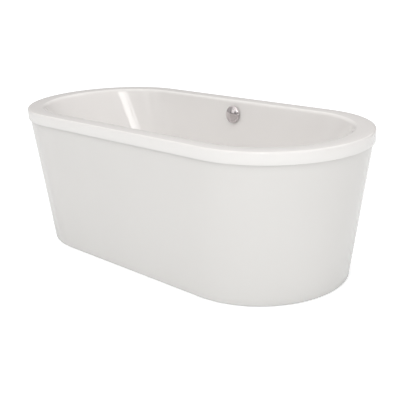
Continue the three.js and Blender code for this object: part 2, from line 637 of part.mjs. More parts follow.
function addTrap() {
  add('trap_inlet_nut', alongX(unionNut(OUTLET.outer)), GREY_PLASTIC, OUTLET.end + GAP, 0, OUTLET.z);
  add('trap_body', trapBody(), WHITE_PLASTIC, TRAP.x);
  add('trap_cleaning_cap', trapCap(), GREY_PLASTIC, TRAP.x);
  add('trap_outlet_nut', alongX(unionNut(OUTLET.outer)), GREY_PLASTIC, TRAP.end - 4, 0, TRAP.outletZ);
}

addBath();
addCradle();
addFeet();
addBrackets();
addOverflow();
addWaste();
addTrap();

export default bathtub;
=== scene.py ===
"""Freestanding double-ended bathtub: the looks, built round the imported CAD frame.

Metres. +X runs along the bath, +Y points to the overflow side, +Z is up, and the origin is on the floor.
"""

import json
import math

import bmesh
import bpy
import numpy as np
from mathutils import Matrix, Vector


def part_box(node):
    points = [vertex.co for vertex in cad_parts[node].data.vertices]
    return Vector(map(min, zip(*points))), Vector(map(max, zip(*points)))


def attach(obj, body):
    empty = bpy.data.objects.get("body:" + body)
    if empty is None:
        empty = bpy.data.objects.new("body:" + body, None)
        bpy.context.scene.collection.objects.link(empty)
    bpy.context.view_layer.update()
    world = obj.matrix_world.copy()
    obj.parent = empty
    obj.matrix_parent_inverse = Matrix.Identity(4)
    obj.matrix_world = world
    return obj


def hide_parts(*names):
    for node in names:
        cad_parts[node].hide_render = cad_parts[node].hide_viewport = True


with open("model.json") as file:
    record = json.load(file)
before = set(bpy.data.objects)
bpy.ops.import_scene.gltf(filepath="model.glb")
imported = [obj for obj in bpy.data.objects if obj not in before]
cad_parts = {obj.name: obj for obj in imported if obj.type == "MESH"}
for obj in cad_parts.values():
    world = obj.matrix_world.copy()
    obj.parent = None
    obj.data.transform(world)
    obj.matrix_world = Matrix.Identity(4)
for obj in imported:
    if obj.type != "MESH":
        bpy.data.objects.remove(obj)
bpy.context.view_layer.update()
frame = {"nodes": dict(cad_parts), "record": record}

# ---- sizes read from the frame ----
SHELL_LOW, SHELL_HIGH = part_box("bath_shell")
SKIRT_LOW, SKIRT_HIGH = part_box("outer_skirt")
HALF_LENGTH, HALF_WIDTH, HEIGHT = SHELL_HIGH
UNDERSIDE = SHELL_LOW.z
JOINTS = {joint["name"]: joint for joint in frame["record"]["behaviour"]["joints"]}
KNOB_JOINT = JOINTS["knob_turn"]

# ---- sizes of the basin that the frame's boxes don't give ----
ACRYLIC = 0.006
LIP_HEIGHT = 0.046
LIP_ROUND = 0.008
FLANGE_SIDE = 0.057
FLANGE_END = 0.0685
INNER_ROLL = 0.012
END_LEAN = math.radians(31)
SIDE_LEAN = math.radians(8.5)
FLOOR_RISE = 0.010                      # inner floor above the underside, at the foot of the walls
FLOOR_FALL = 0.003
FOOT_HEIGHT = 0.060
RECESS_EDGE = 0.042
RECESS_RADIUS = 0.037
RECESS_DEPTH = 0.0034
WASTE_HOLE = 0.026
OVERFLOW_HOLE = 0.025

SKIRT_WALL = 0.005
SKIRT_FOOT_LENGTH = 1.504
SKIRT_FOOT_WIDTH = 0.707
SKIRT_KNEE = 0.545
SKIRT_RETURN = 0.030
RETURN_THICK = 0.006

# ---- how finely outlines are drawn ----
END_STEPS = 72                          # round each end
SIDE_STEPS = 28                         # along each side
SPREAD = 2.2                            # length to width of the outline that spaces a circle's points


# ---- mesh tools ----
def new_object(name, data):
    """A new object in the scene."""
    made = bpy.data.objects.new(name, data)
    bpy.context.scene.collection.objects.link(made)
    return made


def fitting(name, mesh, slot, node, body="bath", look=None):
    """Puts a finished mesh in place of a CAD node, as a piece that rides on a body."""
    mesh.materials.append(MATERIALS[look or slot])
    piece = new_object(name, mesh)
    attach(piece, body)
    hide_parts(node)


def mesh_from(name, points, faces, smooth_angle=None):
    """A checked and shaded mesh."""
    mesh = bpy.data.meshes.new(name)
    mesh.from_pydata([tuple(p) for p in points], [], faces)
    mesh.validate()
    shade(mesh, smooth_angle)
    return mesh


def shade(mesh, smooth_angle):
    """Smooth shading, with edges sharper than the angle (in degrees) left crisp."""
    mesh.polygons.foreach_set("use_smooth", [True] * len(mesh.polygons))
    if smooth_angle is not None:
        mesh.set_sharp_from_angle(angle=math.radians(smooth_angle))
    mesh.update()


def outline(half_length, half_width, z):
    """Straight sides with half-round ends, anticlockwise from above, at one height."""
    centre = half_length - half_width
    turn = np.linspace(-math.pi / 2, math.pi / 2, END_STEPS + 1)
    along = np.linspace(centre, -centre, SIDE_STEPS + 1)[1:-1]
    end = np.column_stack([centre + half_width * np.cos(turn), half_width * np.sin(turn)])
    side = np.column_stack([along, np.full(len(along), half_width)])
    half = np.vstack([end, side])
    flat = np.vstack([half, -half])
    return np.column_stack([flat, np.full(len(flat), z)])


def circle(radius, z):
    """As many points as an outline, spread so that each lies towards its partner on the floor."""
    around = outline(SPREAD * radius, radius, z)
    angle = np.arctan2(around[:, 1], around[:, 0])
    return np.column_stack([radius * np.cos(angle), radius * np.sin(angle), np.full(len(angle), z)])


def loft(name, sections, smooth_angle=None, capped=False):
    """A closed skin through sections: the last one joins the first, unless both ends are capped."""
    count = len(sections[0])
    rows = len(sections)
    faces = []
    for i in range(rows - 1 if capped else rows):
        here = i * count
        there = (i + 1) % rows * count
        for j in range(count):
            k = (j + 1) % count
            faces.append((here + j, here + k, there + k, there + j))
    if capped:
        faces += [tuple(range(count))[::-1], tuple(range((rows - 1) * count, rows * count))]
    return mesh_from(name, np.vstack(sections), faces, smooth_angle)


def lathe(name, profile, sides=96, smooth_angle=30):
    """A solid of revolution about +Z. Profile points are (radius, height), axis to axis or a closed loop."""
    on_axis = profile[0][0] == 0
    points = []
    rings = []
    for radius, height in profile:
        if radius == 0:
            rings.append([len(points)])
            points.append((0, 0, height))
            continue
        rings.append(list(range(len(points), len(points) + sides)))
        for i in range(sides):
            angle = 2 * math.pi * i / sides
            points.append((radius * math.cos(angle), radius * math.sin(angle), height))
    pairs = list(zip(rings, rings[1:]))
    if not on_axis:
        pairs.append((rings[-1], rings[0]))
    faces = []
    for low, high in pairs:
        for i in range(sides):
            j = (i + 1) % sides
            corners = [low[i % len(low)], low[j % len(low)], high[j % len(high)], high[i % len(high)]]
            faces.append(tuple(dict.fromkeys(corners)))
    return mesh_from(name, points, faces, smooth_angle)


def arc(centre, radius, start, end, steps):
    """Profile points on a round from one angle to another, in degrees."""
    angles = np.radians(np.linspace(start, end, steps + 1))
    return [(centre[0] + radius * math.cos(a), centre[1] + radius * math.sin(a)) for a in angles]


# ---- the inner surface of the basin, as half sizes at a height ----
FLOOR = UNDERSIDE + FLOOR_RISE
WALL_FOOT = FLOOR + FOOT_HEIGHT
OPENING = (HALF_LENGTH - FLANGE_END, HALF_WIDTH - FLANGE_SIDE)
LEANS = (END_LEAN, SIDE_LEAN)


def wall_half(opening, lean, z):
    """Half the inner size on one axis, on the roll of the rim and the leaning wall below it."""
    drop = min(HEIGHT - z, INNER_ROLL)
    roll = math.sqrt(2 * INNER_ROLL * drop - drop * drop)
    return opening - roll - (HEIGHT - z) * math.tan(lean)


def fillet_half(opening, lean, z):
    """The same on the round that leads from the wall into the floor."""
    radius = FOOT_HEIGHT / (1 - math.sin(lean))

    def reach(height):
        return math.sqrt(max(2 * radius * height - height * height, 0))

    return wall_half(opening, lean, WALL_FOOT) - reach(FOOT_HEIGHT) + reach(z - FLOOR)


def basin_halves(z):
    """Half the inner length and half the inner width at a height."""
    profile = wall_half if z >= WALL_FOOT else fillet_half
    return [profile(opening, lean, z) for opening, lean in zip(OPENING, LEANS)]


def inside(z):
    """The outline of the inner surface at a height."""
    return outline(*basin_halves(z), z)


def ease(count):
    """Shares from 0 to 1 that follow a quarter turn, for the heights of a round."""
    return [1 - math.cos(math.pi / 2 * i / count) for i in range(count + 1)]


# ---- basin and skirt ----
def basin_inside():
    """From the rim down the walls to the floor."""
    roll = [inside(HEIGHT - INNER_ROLL * share) for share in ease(10)]
    walls = [inside(z) for z in np.linspace(HEIGHT - INNER_ROLL, WALL_FOOT, 20)[1:-1]]
    fillet = [inside(FLOOR + FOOT_HEIGHT * share) for share in reversed(ease(16))]
    return roll + walls + fillet


def basin_floor():
    """From the foot of the fillet to the waste, falling gently all the way."""
    edge = inside(FLOOR)
    top = FLOOR - FLOOR_FALL
    rim = circle(RECESS_EDGE + 0.002, top)
    steps = 12
    sections = []
    for i in range(1, steps + 1):
        share = i / steps
        ring = edge + (rim - edge) * share
        ring[:, 2] = FLOOR - FLOOR_FALL * (share * share * (3 - 2 * share))
        sections.append(ring)
    bottom = top - RECESS_DEPTH
    rounding = 0.0015
    recess = [(RECESS_EDGE, top - rounding * 0.15), (RECESS_EDGE - 0.001, top - rounding * 0.6),
              (RECESS_RADIUS + 0.0015, bottom + rounding * 0.6),
              (RECESS_RADIUS + 0.0005, bottom + rounding * 0.1), (RECESS_RADIUS - 0.001, bottom),
              (WASTE_HOLE + 0.0005, bottom), (WASTE_HOLE, bottom - 0.0005), (WASTE_HOLE, UNDERSIDE)]
    return sections + [circle(radius, z) for radius, z in recess]


def basin_outside():
    """The rough back of the basin, from the underside up to below the rim."""
    sections = [outline(*basin_halves(FLOOR), UNDERSIDE)]
    radius = FOOT_HEIGHT / (1 - math.sin(SIDE_LEAN))
    for share in ease(8)[1:-1]:
        height = FOOT_HEIGHT * share
        down = (radius - height) / radius
        sideways = ACRYLIC * math.sqrt(1 - down * down)
        halves = [half + sideways for half in basin_halves(FLOOR + height)]
        sections.append(outline(*halves, FLOOR + height - ACRYLIC * down))
    for z in (WALL_FOOT, HEIGHT - INNER_ROLL):
        halves = [half + ACRYLIC / math.cos(lean) for half, lean in zip(basin_halves(z), LEANS)]
        sections.append(outline(*halves, z))
    return sections


def overflow_frame():
    """The overflow's own frame: +Z out of the wall along the knob's axis, +Y up the wall."""
    out = Vector(KNOB_JOINT["axis"]).normalized()
    up = Vector((0, out.z, -out.y))
    across = up.cross(out)
    rotation = Matrix((across, up, out)).transposed().to_4x4()
    return Matrix.Translation(Vector(KNOB_JOINT["pos_m"])) @ rotation


def make_basin():
    """Lip, rim, inside, floor and back in one skin, with a hole for the overflow."""
    def rim(inset, z):
        return outline(HALF_LENGTH - inset, HALF_WIDTH - inset, z)

    bottom = HEIGHT - LIP_HEIGHT
    under = HEIGHT - ACRYLIC
    rounding = 0.002
    outer_round = [rim(LIP_ROUND * share, HEIGHT - LIP_ROUND + LIP_ROUND * math.sqrt(1 - (1 - share) ** 2))
                   for share in ease(10)]
    sections = [rim(rounding, bottom), rim(rounding * 0.3, bottom + rounding * 0.3),
                rim(0, bottom + rounding), rim(0, (bottom + HEIGHT) / 2), *outer_round,
                rim(0.5 * (LIP_ROUND + FLANGE_SIDE), HEIGHT),
                *basin_inside(), *basin_floor(), *basin_outside(),
                outline(OPENING[0], OPENING[1] - ACRYLIC / 2, under), rim(LIP_ROUND, under),
                rim(ACRYLIC, under - LIP_ROUND + ACRYLIC), rim(ACRYLIC, bottom + rounding),
                rim(ACRYLIC - rounding * 0.5, bottom)]
    hole = moved(rod(OVERFLOW_HOLE, -0.06, 0.06), overflow_frame())
    fitting("basin", carve("basin", loft("basin", sections), [], [hole], 40), "acrylic", "bath_shell")


def make_skirt():
    """The outer skin, with a rounded foot that returns inwards above the floor."""
    foot, top = SKIRT_LOW.z, SKIRT_HIGH.z
    foot_halves = (SKIRT_FOOT_LENGTH / 2, SKIRT_FOOT_WIDTH / 2)
    rounding = 0.0025

    def section(z, inset=0.0):
        share = min((z - foot) / (SKIRT_KNEE - foot), 1)
        length, width = [a + (b - a) * share for a, b in zip(foot_halves, (SKIRT_HIGH.x, SKIRT_HIGH.y))]
        return outline(length - inset, width - inset, z)

    edge = [section(foot + rounding - rounding * math.sin(math.radians(a)),
                    rounding - rounding * math.cos(math.radians(a))) for a in (90, 60, 30, 0)]
    outer = [section(z) for z in np.linspace(foot + rounding, SKIRT_KNEE, 24)[1:]]
    inner = [section(z, SKIRT_WALL) for z in np.linspace(SKIRT_KNEE, foot + RETURN_THICK + 0.004, 6)]
    back = foot + RETURN_THICK
    sections = [*edge, *outer, section(top), section(top, SKIRT_WALL), *inner,
                section(back, SKIRT_WALL + 0.004), section(back, SKIRT_RETURN - 0.001),
                section(back - 0.001, SKIRT_RETURN), section(foot + 0.001, SKIRT_RETURN),
                section(foot, SKIRT_RETURN - 0.001)]
    # The skirt wears the darker, shade-painted copy of the acrylic.
    fitting("skirt", loft("skirt", sections, 40), "acrylic", "outer_skirt", look="skirt_acrylic_painted_shade")


# ---- overflow and waste metalwork ----
def make_knob():
    """A hollow dished cap with a softly domed face and a rolled rim."""
    radius, back, front = 0.0375, 0.004, 0.022
    wall, crown, shoulder = 0.0022, 0.0042, 0.0090
    hub, bore, hub_back, socket, inner_face = 0.009, 0.0043, 0.006, 0.017, 0.0145
    dome_radius = ((radius - shoulder) ** 2 + crown ** 2) / (2 * crown)
    dome = [(r, front - dome_radius + math.sqrt(dome_radius ** 2 - r * r))
            for r in np.linspace(radius - shoulder, 0, 20)]
    dome[-1] = (0, front)
    outer = arc((radius - shoulder, front - crown - shoulder), shoulder, 0, 84, 12)
    profile = [(0, socket), (bore, socket), (bore, hub_back), (hub, hub_back), (hub, inner_face),
               (radius - 0.012, inner_face), (radius - 0.006, 0.0125), (radius - wall - 0.0015, 0.009),
               (radius - wall, back + 0.0006), (radius - wall + 0.0006, back), (radius - 0.0008, back),
               (radius, back + 0.0008), *outer, *dome[1:]]
    mesh = moved(lathe("knob", profile, 128, 35), overflow_frame())
    fitting("knob", mesh, "chrome", "overflow_knob", "knob")


def make_face_plate():
    """The ring behind the knob with its threaded sleeve and three-armed spider."""
    sleeve, bore, flange = 0.024, 0.021, 0.033
    end, seat, pitch = -0.018, 0.0003, 0.002
    profile = [(bore, end), (sleeve - 0.0008, end), (sleeve, end + 0.0008)]
    for i in range(6):
        z = end + 0.0015 + i * pitch
        profile += [(sleeve, z), (sleeve - 0.0007, z + pitch * 0.4), (sleeve, z + pitch * 0.8)]
    profile += [(sleeve, seat), (flange - 0.0005, seat), (flange, 0.0008), (flange, 0.0016),
                (flange - 0.0006, 0.0022), (bore + 0.002, 0.0032), (bore + 0.0006, 0.0031), (bore, 0.0026)]
    mesh = lathe("face_plate", profile, 96, 30)
    join_spider(mesh, bore + 0.0006, -0.014, -0.011)
    fitting("face_plate", moved(mesh, overflow_frame()), "chrome", "overflow_face_plate")


def join_spider(mesh, reach, low, high):
    """Three radial arms and a bearing ring inside a sleeve, added to its mesh."""
    bearing, ring_wall, overlap, arm = 0.00435, 0.0035, 0.001, 0.003
    work = bmesh.new()
    work.from_mesh(mesh)
    outside = bearing + ring_wall
    ring = lathe("bearing", [(bearing, low), (outside, low), (outside, high), (bearing, high)], 48)
    work.from_mesh(ring)
    bpy.data.meshes.remove(ring)
    width = reach - bearing - overlap
    stretch = Matrix.Diagonal((width, arm, high - low, 1))
    shift = Matrix.Translation((bearing + overlap + width / 2, 0, (low + high) / 2))
    for i in range(3):
        made = bmesh.ops.create_cube(work, size=1.0)
        turn = Matrix.Rotation(2 * math.pi * i / 3, 4, "Z")
        bmesh.ops.transform(work, matrix=turn @ shift @ stretch, verts=made["verts"])
    work.to_mesh(mesh)
    work.free()
    shade(mesh, 30)


def make_waste_flange():
    """The chrome ring in the basin's floor, with its sleeve and spider."""
    sleeve, bore, outer, thick, edge, throat = 0.0248, 0.022, 0.035, 0.0022, 0.0016, 0.0024
    low, face = [corner.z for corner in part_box("waste_flange")]
    seat = face - thick
    profile = [(bore, low + 0.0005), (bore + 0.0005, low), (sleeve - 0.0008, low), (sleeve, low + 0.0008),
               (sleeve, seat), (outer - 0.0004, seat), (outer, seat + 0.0004),
               *arc((outer - edge, face - edge), edge, 0, 80, 6),
               (bore + 0.003, face), *arc((bore + throat, face - throat), throat, 90, 180, 8)]
    mesh = lathe("drain_flange", profile, 96, 30)
    join_spider(mesh, bore + 0.0006, low + 0.016, low + 0.019)
    fitting("drain_flange", mesh, "chrome", "waste_flange")


def make_plug():
    """A slightly domed disc on a boss and a thin stem."""
    low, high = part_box("waste_plug")
    radius, stem, boss, edge = high.x, 0.004, 0.0115, 0.0014
    under = high.z - 0.0052
    boss_end = under - 0.0088
    flat = radius - 0.002
    dome = [(r, high.z - 0.0018 * (r / flat) ** 2) for r in np.linspace(flat, 0, 12)]
    dome[-1] = (0, high.z)
    profile = [(0, low.z), (stem - 0.0008, low.z), (stem, low.z + 0.0008), (stem, boss_end),
               (boss - 0.0006, boss_end), (boss, under - 0.0082), (boss, under), (radius - 0.0012, under),
               *arc((radius - edge, under + edge), edge, -80, 60, 8), *dome]
    fitting("pop_up_plug", lathe("pop_up_plug", profile, 96, 30), "chrome", "waste_plug", "plug")


# ---- materials ----
def new_material(name):
    """A Principled material, with what is needed to build on it."""
    material = bpy.data.materials.new(name)
    material.use_nodes = True
    nodes = material.node_tree.nodes
    return material, nodes, material.node_tree.links, nodes["Principled BSDF"]


def set_inputs(node, **values):
    """Sets inputs by name, with _ for each space."""
    for key, value in values.items():
        node.inputs[key.replace("_", " ")].default_value = value


def coords(nodes):
    """Positions on the object itself, so that a grain keeps its size and its place."""
    return nodes.new("ShaderNodeTexCoord").outputs["Object"]


def noise(nodes, links, scale, detail=2.0, roughness=0.5):
    """A soft random grain, from 0 to 1."""
    node = nodes.new("ShaderNodeTexNoise")
    set_inputs(node, Scale=scale, Detail=detail, Roughness=roughness)
    links.new(coords(nodes), node.inputs["Vector"])
    return node.outputs["Fac"]


def remap(nodes, links, source, low, high):
    """Stretches a value that runs from 0 to 1."""
    node = nodes.new("ShaderNodeMapRange")
    set_inputs(node, To_Min=low, To_Max=high)
    links.new(source, node.inputs["Value"])
    return node.outputs["Result"]


def ramp(nodes, links, source, stops):
    """Turns a value into a colour, by (place, colour) stops."""
    node = nodes.new("ShaderNodeValToRGB")
    elements = node.color_ramp.elements
    while len(elements) < len(stops):
        elements.new(0.5)
    for element, (place, colour) in zip(elements, stops):
        element.position = place
        element.color = (*colour, 1)
    links.new(source, node.inputs["Fac"])
    return node.outputs["Color"]


def bump(nodes, links, shader, source, distance, strength):
    """Raises the surface a little by a value."""
    node = nodes.new("ShaderNodeBump")
    set_inputs(node, Strength=strength, Distance=distance)
    links.new(source, node.inputs["Height"])
    links.new(node.outputs["Normal"], shader.inputs["Normal"])


def surface(name, grain, stops, rough, relief=None, **inputs):
    """A material with one grain in its colour and others in its roughness and relief.

    A grain is the scale, the detail and sometimes the roughness of a noise.
    """
    material, nodes, links, shader = new_material(name)
    set_inputs(shader, **inputs)
    links.new(ramp(nodes, links, noise(nodes, links, *grain), stops), shader.inputs["Base Color"])
    grain, low, high = rough
    links.new(remap(nodes, links, noise(nodes, links, *grain), low, high), shader.inputs["Roughness"])
    if relief:
        grain, distance, strength = relief
        bump(nodes, links, shader, noise(nodes, links, *grain), distance, strength)
    return material


def between(low, high):
    """Stops for a colour that wanders between two."""
    return [(0.3, low), (0.7, high)]


def acrylic(name, low, high):
    """Thermoformed sheet: hard gloss, a faint long ripple and hardly any tint."""
    return surface(name, (1.6, 3), between(low, high), ((9.0, 4), 0.05, 0.10), ((7.0, 1.5), 0.0002, 0.5),
                   IOR=1.49)


def plastic(name, low, high, roughness):
    """Moulded polypropylene with a fine grain."""
    return surface(name, (25.0, 3), between(low, high), ((180.0, 4), roughness - 0.08, roughness + 0.08),
                   ((1200.0, 2), 0.00005, 0.3))


def galvanised():
    """Spangled zinc on the cradle's tubes."""
    material, nodes, links, shader = new_material("galvanised_steel")
    set_inputs(shader, Metallic=1.0)
    cells = nodes.new("ShaderNodeTexVoronoi")
    set_inputs(cells, Scale=140.0)
    links.new(coords(nodes), cells.inputs["Vector"])
    stops = [(0.1, (0.42, 0.44, 0.46)), (0.9, (0.60, 0.62, 0.64))]
    links.new(ramp(nodes, links, cells.outputs["Color"], stops), shader.inputs["Base Color"])
    links.new(remap(nodes, links, cells.outputs["Distance"], 0.3, 0.5), shader.inputs["Roughness"])
    bump(nodes, links, shader, noise(nodes, links, 250.0, 3), 0.0001, 0.3)
    return material


MATERIALS = {
    # The basin's acrylic is painted lighter: this is painted light that stands in for light inside the basin,
    # one lit copy of the same white acrylic as the skirt.
    "acrylic": acrylic("basin_acrylic_painted_light", (0.786, 0.775, 0.764), (0.800, 0.789, 0.778)),
    # The skirt's acrylic is the same white sheet painted darker: painted shade on the skirt, the shaded copy
    # of the basin's acrylic.
    "skirt_acrylic_painted_shade": acrylic("skirt_acrylic_painted_shade", (0.685, 0.675, 0.662), (0.700, 0.690, 0.677)),
    "chrome": surface("polished_chrome", (30.0, 3), between((0.635, 0.600, 0.607), (0.675, 0.635, 0.642)),
                      ((400.0, 5), 0.03, 0.09), Metallic=1.0),
    "black_rubber": surface("black_rubber", (60.0, 4), between((0.018, 0.018, 0.019), (0.034, 0.033, 0.032)),
                            ((300.0, 4), 0.6, 0.85), ((900.0, 3), 0.0001, 0.4)),
    "galvanised_steel": galvanised(),
    "zinc_plate": surface("zinc_plate", (80.0, 4), between((0.58, 0.59, 0.60), (0.70, 0.70, 0.69)),
                          ((260.0, 3), 0.22, 0.4), Metallic=1.0),
    # chipboard under a thin coat of glass-fibre resin
    "board": surface("resin_coated_board", (160.0, 6, 0.7),
                     [(0.35, (0.30, 0.21, 0.12)), (0.5, (0.46, 0.35, 0.21)), (0.66, (0.60, 0.49, 0.33))],
                     ((90.0, 3), 0.5, 0.75), ((320.0, 4), 0.0003, 0.6), Coat_Weight=0.6, Coat_Roughness=0.2),
    "white_plastic": plastic("white_polypropylene", (0.74, 0.74, 0.72), (0.82, 0.82, 0.80), 0.38),
    "grey_plastic": plastic("grey_polypropylene", (0.20, 0.21, 0.22), (0.27, 0.28, 0.29), 0.45),
}


def dress_cad_nodes():
    """Gives every CAD node the material of its slot."""
    for part in frame["record"]["subparts"]:
        node = frame["nodes"][part["node"]]
        node.data.materials.clear()
        node.data.materials.append(MATERIALS[part["material_slot"]])


# ---- finer shapes for the fittings ----
def soft(profile, size, steps=3):
    """Rounds the corners of a profile, each by no more than nearly half of its shorter side."""
    points = [Vector(point) for point in profile]
    closed = profile[0][0] > 0
    rounded = []
    for i, here in enumerate(points):
        if not closed and i in (0, len(points) - 1):
            rounded.append(tuple(here))
            continue
        before, after = points[i - 1] - here, points[(i + 1) % len(points)] - here
        reach = min(size, 0.45 * before.length, 0.45 * after.length)
        start, end = here + before.normalized() * reach, here + after.normalized() * reach
        for share in np.linspace(0, 1, steps + 1):
            rest = 1 - share
            rounded.append(tuple(start * rest ** 2 + here * 2 * share * rest + end * share ** 2))
    return rounded


def thread(radius, low, high, pitch, depth):
    """Profile points of a screw thread, as close rings."""
    count = int((high - low) / pitch)
    points = []
    for i in range(count):
        points += [(radius - depth, low + i * pitch), (radius, low + (i + 0.5) * pitch)]
    return points + [(radius - depth, low + count * pitch)]


def flute(mesh, beyond, ribs, depth):
    """Presses finger grips into a turned mesh outside a radius."""
    for vertex in mesh.vertices:
        radius = math.hypot(vertex.co.x, vertex.co.y)
        if radius > beyond:
            wave = 0.5 + 0.5 * math.cos(ribs * math.atan2(vertex.co.y, vertex.co.x))
            shrink = 1 - depth * wave ** 3 / radius
            vertex.co.x *= shrink
            vertex.co.y *= shrink
    shade(mesh, 30)


def hexagon(turn, corner):
    """The distance to the edge of a hexagon in each direction."""
    return corner * math.cos(math.pi / 6) / np.cos(np.mod(turn, math.pi / 3) - math.pi / 6)


def hex_nut(name, corner, bore, low, high):
    """A nut with bevelled corners; the corner is its largest radius."""
    turn = np.linspace(0, 2 * math.pi, 97)[:-1]
    edge = hexagon(turn, corner)
    flat = edge.min()
    bevel = 0.6 * (corner - flat)

    def ring(radius, z):
        return np.column_stack([radius * np.cos(turn), radius * np.sin(turn), np.full(len(turn), z)])

    sections = [ring(np.minimum(edge, flat), low), ring(edge, low + bevel), ring(edge, high - bevel),
                ring(np.minimum(edge, flat), high), ring(bore, high), ring(bore, low)]
    return loft(name, sections, 30)


def merge(mesh, *others):
    """Adds other meshes to the first one and removes them."""
    work = bmesh.new()
    work.from_mesh(mesh)
    for other in others:
        work.from_mesh(other)
        bpy.data.meshes.remove(other)
    work.to_mesh(mesh)
    work.free()
    shade(mesh, 30)
    return mesh


def rod(radius, low, high, sides=64):
    """A round bar along the axis."""
    return lathe("rod", [(0, low), (radius, low), (radius, high), (0, high)], sides)


def carve(name, body, joined, removed, smooth_angle=30):
    """Joins solids to a body and then takes others away, for good."""
    piece = new_object(name, body)
    cutters = []
    for operation, solids in (("UNION", joined), ("DIFFERENCE", removed)):
        for solid in solids:
            cutter = new_object("cutter", solid)
            modifier = piece.modifiers.new("cut", "BOOLEAN")
            modifier.object = cutter
            modifier.operation = operation
            modifier.solver = "EXACT"
            cutters.append(cutter)
    bpy.context.view_layer.update()
    evaluated = piece.evaluated_get(bpy.context.evaluated_depsgraph_get())
    mesh = bpy.data.meshes.new_from_object(evaluated)
    mesh.name = name
    for item in [piece, *cutters]:
        bpy.data.objects.remove(item)
    shade(mesh, smooth_angle)
    return mesh


def moved(mesh, *matrices):
    """The mesh moved by each matrix in turn."""
    for matrix in matrices:
        mesh.transform(matrix)
    return mesh


def at(x, y, z):
    """A shift."""
    return Matrix.Translation((x, y, z))


ALONG_X = Matrix.Rotation(math.pi / 2, 4, "Y")
ALONG_Y = Matrix.Rotation(-math.pi / 2, 4, "X")
UPSIDE_DOWN = Matrix.Rotation(math.pi, 4, "X")


def middle(node):
    """The middle of a CAD node's box on the floor plan, at the height of its underside."""
    low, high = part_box(node)
    return (low.x + high.x) / 2, (low.y + high.y) / 2, low.z


# ---- cradle and feet ----
def rounded_square(half, radius, z):
    """A square with round corners, at one height."""
    points = []
    for corner, start in (((1, -1), -90), ((1, 1), 0), ((-1, 1), 90), ((-1, -1), 180)):
        centre = [side * (half - radius) for side in corner]
        points += [(x, y, z) for x, y in arc(centre, radius, start, start + 90, 5)]
    return np.array(points)


def square_tube(name, length):
    """A tube along +Z about its middle, with softened ends."""
    half, wall, lip = 0.0125, 0.002, 0.0004
    corner, end_corner, inner_corner = 0.003, 0.0028, 0.0015
    inner = half - wall
    end = length / 2
    sections = [rounded_square(half - lip, end_corner, -end), rounded_square(half, corner, lip - end),
                rounded_square(half, corner, end - lip), rounded_square(half - lip, end_corner, end),
                rounded_square(inner, inner_corner, end), rounded_square(inner, inner_corner, -end)]
    return loft(name, sections, 30)


BOSS, STUD_BORE, SCREW_HOLE = 0.011, 0.0064, 0.0027


def crossing(node, kind, count):
    """Where the numbered pieces of a kind enter a node: x, y and their lowest point."""
    low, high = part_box(node)
    places = []
    for i in range(1, count + 1):
        x, y, bottom = middle(f"{kind}_{i}")
        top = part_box(f"{kind}_{i}")[1].z
        if low.x < x < high.x and low.y < y < high.y and bottom < high.z and top > low.z:
            places.append((x, y, bottom))
    return places


def make_cradle():
    """Square tubes, with a bored boss inside for each stud and a hole for each screw."""
    def post(radius, bottom, top, x, y):
        return moved(rod(radius, bottom, top, 32), at(x, y, 0))

    for node in ("frame_rail_front", "frame_rail_rear", "cross_rail_left", "cross_rail_right",
                 "cross_rail_centre"):
        low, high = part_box(node)
        size = high - low
        turn = ALONG_X if size.x > size.y else ALONG_Y
        tube = moved(square_tube(node + "_tube", max(size)), turn, at(*(low + high) / 2))
        studs = crossing(node, "foot_stud", 5)
        screws = crossing(node, "rail_screw", 6) + crossing(node, "bracket_screw", 4)
        bosses = [post(BOSS, low.z + 0.001, high.z - 0.003, x, y) for x, y, _ in studs]
        holes = [post(STUD_BORE, low.z - 0.001, high.z - 0.002, x, y) for x, y, _ in studs]
        holes += [post(SCREW_HOLE, max(bottom, low.z - 0.001), high.z + 0.001, x, y)
                  for x, y, bottom in screws]
        fitting(node + "_tube", carve(node + "_tube", tube, bosses, holes), "galvanised_steel", node)


def make_board():
    """A round-ended board with softened edges and a hole for the waste."""
    low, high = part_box("base_board")
    rounding, hole, hole_edge = 0.0015, 0.045, 0.001

    def edge(inset, z):
        return outline(high.x - inset, high.y - inset, z)

    sections = [edge(rounding, low.z), edge(0.3 * rounding, low.z + 0.3 * rounding),
                edge(0, low.z + rounding), edge(0, high.z - rounding), edge(rounding, high.z),
                circle(hole + hole_edge, high.z), circle(hole, high.z - hole_edge),
                circle(hole, low.z + hole_edge), circle(hole + hole_edge, low.z)]
    fitting("floor_board", loft("floor_board", sections, 30), "board", "base_board")


def make_feet():
    """Rubber pad, threaded stud with its own hexagon, and lock nut, five times."""
    for number in range(1, 6):
        body = f"foot_{number}"
        x, y, _ = middle(f"foot_pad_{number}")
        pad_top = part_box(f"foot_pad_{number}")[1].z
        stud_low, stud_high = [corner.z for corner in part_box(f"foot_stud_{number}")]
        nut_low, nut_high = [corner.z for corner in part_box(f"foot_lock_nut_{number}")]
        groove = 0.0012                     # how deep the sole's rings are
        pad = soft([(0, groove), (0.007, groove), (0.008, 0), (0.0115, 0), (0.0125, groove), (0.0165, groove),
                    (0.0175, 0), (0.0215, 0), (0.022, 0.0008), (0.022, 0.003), (0.0135, 0.0085),
                    (0.0130, pad_top), (0.008, pad_top), (0.008, 0.006), (0, 0.006)], 0.0006)
        shank = [(0, stud_low), (0.007, stud_low), (0.007, pad_top), (0.0058, pad_top), (0.0058, 0.020),
                 *thread(0.006, 0.020, stud_high - 0.001, 0.00175, 0.0009), (0.0046, stud_high),
                 (0, stud_high)]
        stud = merge(lathe("stud", shank, 32, 25), hex_nut("stud_hex", 0.010, 0.0055, 0.012, 0.019))
        nut = hex_nut("lock_nut", 0.011, STUD_BORE, nut_low, nut_high)
        for name, mesh, slot, node, rider in (
                ("rubber_foot", lathe("pad", pad, 64), "black_rubber", "foot_pad", body),
                ("threaded_stud", stud, "zinc_plate", "foot_stud", body),
                ("hex_lock_nut", nut, "zinc_plate", "foot_lock_nut", "bath")):
            fitting(f"{name}_{number}", moved(mesh, at(x, y, 0)), slot, f"{node}_{number}", rider)


